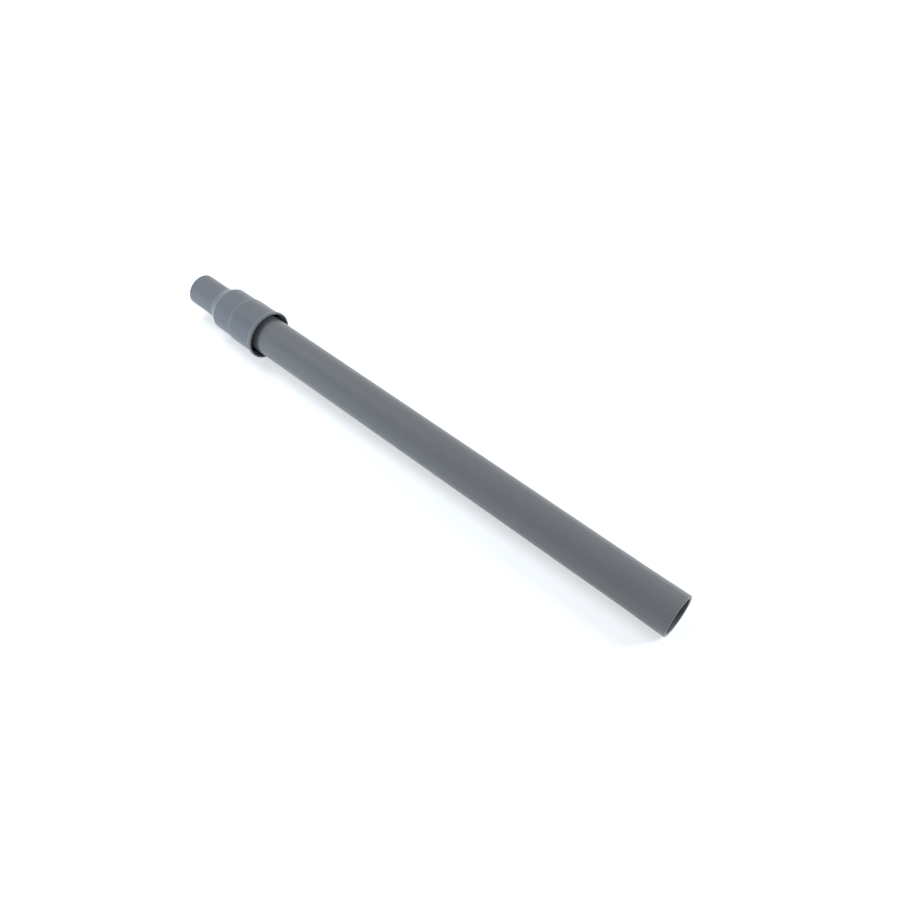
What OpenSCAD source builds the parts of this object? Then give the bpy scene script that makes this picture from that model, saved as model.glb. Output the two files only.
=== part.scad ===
// Rigid extension wand. A tube with a socket in its open end carries a moulded end fitting:
// a stepped hollow collar that stands clear of the tube, and a straight male tip.
// Lengths are in millimetres. The wand lies on the lip of its collar and on its open end.

/* [Male tip] */
// Outside diameter of the tip, the nominal size of the friction fit
tip_d = 32; // [25:0.1:40]
// Straight length of the tip
tip_len = 33.8; // [20:0.1:60]
// Wall of the tip
tip_wall = 2.1; // [1.6:0.1:3]
// Rounding of the edges at the end of the tip
tip_round = 0.5; // [0.2:0.1:0.8]

/* [Socket in the open end] */
// Room all round a tip that is pushed into the socket
socket_gap = 0.1; // [0.05:0.01:0.4]
// Room between the end of a tip and the stop
stop_gap = 0.6; // [0:0.1:3]
// Height of the stop, the step from the socket down to the bore of the tube
stop_rise = 0.4; // [0.2:0.05:0.8]
// Rounding that leads a tip in
lead_round = 0.9; // [0.3:0.1:1.3]

/* [Tube] */
// Wall of the tube
tube_wall = 2.7; // [2.2:0.1:3.5]
// Length of tube between its open end and the mouth of the collar
tube_shown = 462; // [250:1:700]
// Length of the widened end, with the cone that leads to it
bell_len = 36; // [20:1:60]
// Straight length of the widened end
rim_len = 9; // [2:0.5:15]
// Growth in radius at the widened end
bell_rise = 0.42; // [0.2:0.02:1.5]
// Rounding of the outer edge at the open end
rim_round = 0.6; // [0.2:0.1:0.9]

/* [Collar] */
// Wall of the collar
collar_wall = 2; // [1.5:0.1:2.6]
// Gap between the tube and the neck of the collar
neck_gap = 1.5; // [0.8:0.05:3]
// Gap between the tube and the skirt of the collar
skirt_gap = 2.5; // [1:0.05:4]
// Gap between the tube and the mouth of the collar
mouth_gap = 3.85; // [1.5:0.05:6]
// Straight length of the lip at the mouth
lip_len = 2.6; // [2:0.1:8]
// Length of the flare between skirt and lip
flare_len = 3; // [2:0.1:8]
// Straight length of the skirt
skirt_len = 27.3; // [10:0.1:60]
// Length of the sloping step between skirt and neck
step_len = 2.6; // [1:0.1:6]
// Straight length of the neck
neck_len = 21.7; // [10:0.1:50]
// Length of the conical shoulder between neck and tip
shoulder_len = 11.8; // [6:0.1:25]
// Rounding of the edges of the lip
lip_round = 0.85; // [0.3:0.05:1]

/* [Joint of tube and fitting] */
// Length of the spigot inside the tube
spigot_len = 36; // [15:1:60]
// Room for the glue round the spigot
glue_gap = 0.05; // [0.02:0.01:0.1]
// Chamfer on the inner end of the spigot
spigot_chamfer = 0.8; // [0.3:0.1:1.2]

/* [Hidden] */

// Radii, from the tip outwards
tip_r = tip_d / 2;
socket_r = tip_r + socket_gap;
bore_r = socket_r - stop_rise;
tube_r = bore_r + tube_wall;
spigot_r = bore_r - glue_gap;
air_r = tip_r - tip_wall;
neck_in = tube_r + neck_gap;
skirt_in = tube_r + skirt_gap;
mouth_in = tube_r + mouth_gap;
neck_r = neck_in + collar_wall;
skirt_r = skirt_in + collar_wall;
lip_r = mouth_in + collar_wall;
rim_r = tube_r + bell_rise;

// Stations along the axis, from the open end of the tube
stop_x = tip_len + stop_gap;
lip_x = tube_shown + lip_len;
skirt_x = lip_x + flare_len;
step_x = skirt_x + skirt_len;
neck_x = step_x + step_len;
shoulder_x = neck_x + neck_len;
tip_x = shoulder_x + shoulder_len;
wand_len = tip_x + tip_len;

// The wall of the shoulder runs parallel to its outside, down to the seat of the tube
shoulder_slope = (neck_r - tip_r) / shoulder_len;
shoulder_drop = collar_wall * sqrt(1 + shoulder_slope * shoulder_slope);
inner_shoulder_x = shoulder_x - (shoulder_drop - collar_wall) / shoulder_slope;
seat_r = tube_r + glue_gap;
seat_x = inner_shoulder_x + (neck_in - seat_r) / shoulder_slope;
spigot_x = seat_x - spigot_len;

// Tilt at which the lip and the rim both touch the surface that the wand lies on
lean_a = (lip_r - lip_round) - (rim_r - rim_round);
lean_b = (tube_shown + lip_round) - rim_round;
tilt = acos((rim_round - lip_round) / norm([lean_a, lean_b])) - atan2(lean_b, lean_a);
axis_z = (rim_r - rim_round) * cos(tilt) - rim_round * sin(tilt) + rim_round;
mid_x = (wand_len * cos(tilt) + (tip_r - tip_round) * sin(tilt) - rim_r * sin(tilt)) / 2;

// Steps in each rounded edge, and round the axis
round_steps = 4;
$fn = 96;

// Points of a quarter round about a centre, as [station, radius], from one angle to the other
function corner(x, r, size, from, to) = [
    for (i = [0 : round_steps])
        let (a = from + (to - from) * i / round_steps) [x + size * cos(a), r + size * sin(a)]
];

// Turns a profile of [station, radius] points about the X axis
module turned(profile)
    rotate([0, 90, 0]) rotate([0, 0, 180])
        rotate_extrude() polygon([for (p = profile) [p[1], p[0]]]);

// Lays the wand down from its own axis to its place on the surface, open end towards +X
module laid() rotate([0, 0, 180]) translate([-mid_x, 0, axis_z]) rotate([0, -tilt, 0]) children();

// One plain tube, its open end widened round the socket for the tip of the next wand
module wand_tube()
    color([0.47, 0.49, 0.53]) laid() turned(concat(
        corner(rim_round, rim_r - rim_round, rim_round, 180, 90),
        [[rim_len, rim_r], [bell_len, tube_r], [seat_x, tube_r], [seat_x, bore_r],
         [stop_x + stop_rise, bore_r], [stop_x, socket_r]],
        corner(lead_round, socket_r + lead_round, lead_round, -90, -180)
    ));

// Outside of the fitting, from the middle of the lip to the end of the tip
outside = concat(
    corner(tube_shown + lip_round, lip_r - lip_round, lip_round, 180, 90),
    [[lip_x, lip_r], [skirt_x, skirt_r], [step_x, skirt_r], [neck_x, neck_r],
     [shoulder_x, neck_r], [tip_x, tip_r]],
    corner(wand_len - tip_round, tip_r - tip_round, tip_round, 90, 0)
);

// Air way and spigot, from the end of the tip back to the seat of the tube
air_way = concat(
    corner(wand_len - tip_round, air_r + tip_round, tip_round, 0, -90),
    [[spigot_x, air_r], [spigot_x, spigot_r - spigot_chamfer],
     [spigot_x + spigot_chamfer, spigot_r], [seat_x, spigot_r], [seat_x, seat_r]]
);

// Hollow of the collar, from the seat of the tube out to the mouth
hollow = concat(
    [[inner_shoulder_x, neck_in], [neck_x, neck_in], [step_x, skirt_in],
     [skirt_x, skirt_in], [lip_x, mouth_in]],
    corner(tube_shown + lip_round, mouth_in + lip_round, lip_round, -90, -180)
);

// One moulding: collar, shoulder and tip, with the spigot that the tube is pushed over
module end_fitting()
    color([0.49, 0.52, 0.56]) laid() turned(concat(outside, air_way, hollow));

wand_tube();
end_fitting();
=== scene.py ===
import math

import bpy
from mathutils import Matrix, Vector

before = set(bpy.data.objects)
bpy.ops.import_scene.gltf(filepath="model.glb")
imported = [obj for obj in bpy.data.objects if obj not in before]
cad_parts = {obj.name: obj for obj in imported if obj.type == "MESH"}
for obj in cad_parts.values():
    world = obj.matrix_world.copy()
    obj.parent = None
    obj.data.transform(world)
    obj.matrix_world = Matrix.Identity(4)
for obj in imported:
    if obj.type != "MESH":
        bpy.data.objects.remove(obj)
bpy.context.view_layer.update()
scene = bpy.context.scene
print("frame loaded:", sorted(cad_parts))


# Shader maths: a wrapped socket, on which Python's operators add Math nodes

class Link:
    def __init__(self, graph, socket):
        self.graph, self.socket = graph, socket

    def calc(self, operation, *values):
        return self.graph.calc(operation, *values)

    def __add__(self, other): return self.calc("ADD", self, other)
    def __sub__(self, other): return self.calc("SUBTRACT", self, other)
    def __mul__(self, other): return self.calc("MULTIPLY", self, other)
    def __radd__(self, other): return self.calc("ADD", other, self)
    def __rsub__(self, other): return self.calc("SUBTRACT", other, self)
    def __rmul__(self, other): return self.calc("MULTIPLY", other, self)
    def clamp(self): return self.calc("MAXIMUM", self.calc("MINIMUM", self, 1.0), 0.0)


class Graph:
    def __init__(self, name=None, tree=None):
        if tree is None:
            self.material = bpy.data.materials.new(name)
            self.material.use_nodes = True
        self.tree = tree or self.material.node_tree
        self.tree.nodes.clear()

    # A node by its type, its settings, and the values or links of its inputs by place or by name
    def add(self, kind, settings=None, inputs=(), output=0):
        node = self.tree.nodes.new(kind)
        for key, value in (settings or {}).items():
            if key == "stops":
                while len(node.color_ramp.elements) < len(value):
                    node.color_ramp.elements.new(0.5)
                for element, (place, colour) in zip(node.color_ramp.elements, value):
                    element.position, element.color = place, colour
            else:
                setattr(node, key, value)
        pairs = inputs.items() if isinstance(inputs, dict) else enumerate(inputs)
        for key, value in pairs:
            if isinstance(value, Link):
                self.tree.links.new(value.socket, node.inputs[key])
            elif value is not None:
                node.inputs[key].default_value = value
        return Link(self, node.outputs[output]) if len(node.outputs) else None

    def calc(self, operation, *values):
        return self.add("ShaderNodeMath", {"operation": operation}, values)

    def mix(self, factor, first, second):
        settings = {"data_type": "RGBA", "clamp_factor": True}
        return self.add("ShaderNodeMix", settings, {0: factor, 6: first, 7: second}, 2)

    def finish(self, shader):
        self.add("ShaderNodeOutputMaterial", None, {"Surface": shader})
        return self.material


# Satin plastic

plastic = {
    # The fitting's colour is bluer and a little paler than the tube's: painted cool light on the tip
    # end, which is the same grey plastic as the tube
    "tube": {"colour": (0.154, 0.155, 0.160), "roughness": 0.34, "streaks": 1.0},
    "fitting": {"colour": (0.160, 0.166, 0.178), "roughness": 0.36, "streaks": 0.0},
    "grainSize": 0.00045,    # metres across one grain of the satin surface
    "cloudSize": 0.045,      # metres across one patch of slightly paler or darker plastic
    "streakLong": 0.08,      # metres along the tube and across it, for one mark of the extrusion die
    "streakWide": 0.0012,
    "tone": 0.07,            # how far patches and marks go to either side of the colour
    "cloudRough": 0.08,
    "grainRough": 0.06,
    "streakRough": 0.10,
    "bump": 0.12,
    "bumpHeight": 0.0001,
    "ior": 1.6,
}


# Plastic with a fine grain and faint patches, and along an extruded piece the marks of its die
def satinPlastic(name, look):
    g = Graph(name)
    place = g.add("ShaderNodeTexCoord", output=3)
    cloud = g.add("ShaderNodeTexNoise", None,
                  {"Vector": place, "Scale": 1 / plastic["cloudSize"], "Detail": 3.0}, 0)
    grain = g.add("ShaderNodeTexNoise", None,
                  {"Vector": place, "Scale": 1 / plastic["grainSize"], "Detail": 2.0}, 0)
    along, across = 1 / plastic["streakLong"], 1 / plastic["streakWide"]
    stretched = g.add("ShaderNodeVectorMath", {"operation": "MULTIPLY"},
                      {0: place, 1: (along, across, across)})
    streak = g.add("ShaderNodeTexNoise", None, {"Vector": stretched, "Scale": 1.0, "Detail": 2.0}, 0)
    drawn = (streak - 0.5) * look["streaks"]
    dark = (*[c * (1 - plastic["tone"]) for c in look["colour"]], 1.0)
    pale = (*[c * (1 + plastic["tone"]) for c in look["colour"]], 1.0)
    colour = g.mix((cloud + drawn * 0.5).clamp(), dark, pale)
    uneven = (cloud - 0.5) * plastic["cloudRough"] + (grain - 0.5) * plastic["grainRough"]
    roughness = look["roughness"] + uneven + drawn * plastic["streakRough"]
    bump = g.add("ShaderNodeBump", None, {
        "Strength": plastic["bump"], "Distance": plastic["bumpHeight"], "Height": grain + drawn * 0.6})
    shader = g.add("ShaderNodeBsdfPrincipled", None, {
        "Base Color": colour, "Roughness": roughness, "IOR": plastic["ior"], "Normal": bump})
    return g.finish(shader)


def dress(node, material):
    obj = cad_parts[node]
    obj.data.materials.clear()
    obj.data.materials.append(material)


dress("wand_tube", satinPlastic("tubePlastic", plastic["tube"]))
# the fitting's bluer colour is painted cool light, not a different plastic
dress("end_fitting", satinPlastic("fittingPlasticCoolLit", plastic["fitting"]))
print("plastics made")


# Floor, light and camera

room = {
    "floorHalf": 6.0,
    "floorColour": (0.90, 0.90, 0.90),
    "floorGlow": 0.50,       # added where the camera and reflections see the floor, to bring it to white
    "glowRise": (0.8, 2.3),  # distances between which that glow rises to full white
    "skyLight": 0.30,
}


# 1 where the camera, a reflection or a transmitted ray looks, 0 for light that falls on things
def seen(g):
    rays = [g.add("ShaderNodeLightPath", output=name)
            for name in ("Is Camera Ray", "Is Glossy Ray", "Is Transmission Ray")]
    return g.calc("MAXIMUM", g.calc("MAXIMUM", rays[0], rays[1]), rays[2])


# White to look at, with the shadow of what lies on it. The glow rises where the lamps fall off,
# so that the floor meets the white surroundings without a band
def whiteFloor():
    g = Graph("floorWhite")
    lit = g.add("ShaderNodeBsdfDiffuse", None, {"Color": (*room["floorColour"], 1.0)})
    place = g.add("ShaderNodeTexCoord", output=3)
    distance = g.add("ShaderNodeVectorMath", {"operation": "LENGTH"}, {0: place}, "Value")
    near, far = room["glowRise"]
    rise = ((distance - near) * (1 / (far - near))).clamp()
    strength = seen(g) * (room["floorGlow"] + rise * (1 - room["floorGlow"]))
    glow = g.add("ShaderNodeEmission", None, {"Color": (1, 1, 1, 1), "Strength": strength})
    return g.finish(g.add("ShaderNodeAddShader", None, (lit, glow)))


half = room["floorHalf"]
corners = [(-half, -half, 0), (half, -half, 0), (half, half, 0), (-half, half, 0)]
mesh = bpy.data.meshes.new("floor")
mesh.from_pydata(corners, [], [(0, 1, 2, 3)])
floor = bpy.data.objects.new("floor", mesh)
scene.collection.objects.link(floor)
mesh.materials.append(whiteFloor())

world = bpy.data.worlds.new("studio")
scene.world = world
world.use_nodes = True
g = Graph(tree=world.node_tree)
sky = g.add("ShaderNodeBackground", None, {
    "Color": (1, 1, 1, 1), "Strength": room["skyLight"] + seen(g) * (1.0 - room["skyLight"])})
g.add("ShaderNodeOutputWorld", None, {"Surface": sky})

# Soft lamps: a cool one low beside the tip, one above, and one beyond the open end
lamps = {
    "tipSide": {"place": (-0.9, -0.9, 0.2), "aim": (-0.27, 0.0, 0.02),
                "power": 8.6, "colour": (0.60, 0.80, 1.0)},
    "above": {"place": (-0.65, 0.0, 0.9), "aim": (-0.15, 0.0, 0.02),
              "power": 5.0, "colour": (0.72, 0.86, 1.0)},
    "farEnd": {"place": (0.9, 0.8, 0.7), "aim": (0.27, 0.0, 0.02),
               "power": 10.0, "colour": (0.80, 0.92, 1.0)},
}
lampWidth = 0.5


def addLamp(name, lamp):
    data = bpy.data.lights.new(name, "AREA")
    data.shape, data.size = "SQUARE", lampWidth
    data.energy, data.color = lamp["power"], lamp["colour"]
    obj = bpy.data.objects.new(name, data)
    scene.collection.objects.link(obj)
    obj.visible_camera = False
    obj.visible_glossy = False    # only the white surroundings are reflected, so no bright bands
    obj.location = lamp["place"]
    back = Vector(lamp["place"]) - Vector(lamp["aim"])
    obj.rotation_euler = back.to_track_quat("Z", "Y").to_euler()


for name, lamp in lamps.items():
    addLamp(name, lamp)

# The camera's place and angles were found from the outline in the photograph
view = {
    "azimuth": 41.354,
    "elevation": 49.753,
    "place": (0.37260, -0.36236, 0.60467),
    "lens": 35.2,
    "sensor": 36.0,
}


def addCamera():
    data = bpy.data.cameras.new("camera")
    data.lens, data.sensor_width = view["lens"], view["sensor"]
    camera = bpy.data.objects.new("camera", data)
    scene.collection.objects.link(camera)
    a, e = math.radians(view["azimuth"]), math.radians(view["elevation"])
    back = Vector((math.sin(a) * math.cos(e), -math.cos(a) * math.cos(e), math.sin(e)))
    camera.rotation_euler = (-back).to_track_quat("-Z", "Y").to_euler()
    camera.location = view["place"]
    scene.camera = camera


addCamera()
scene.view_settings.view_transform = "Standard"
print("floor, light and camera made")
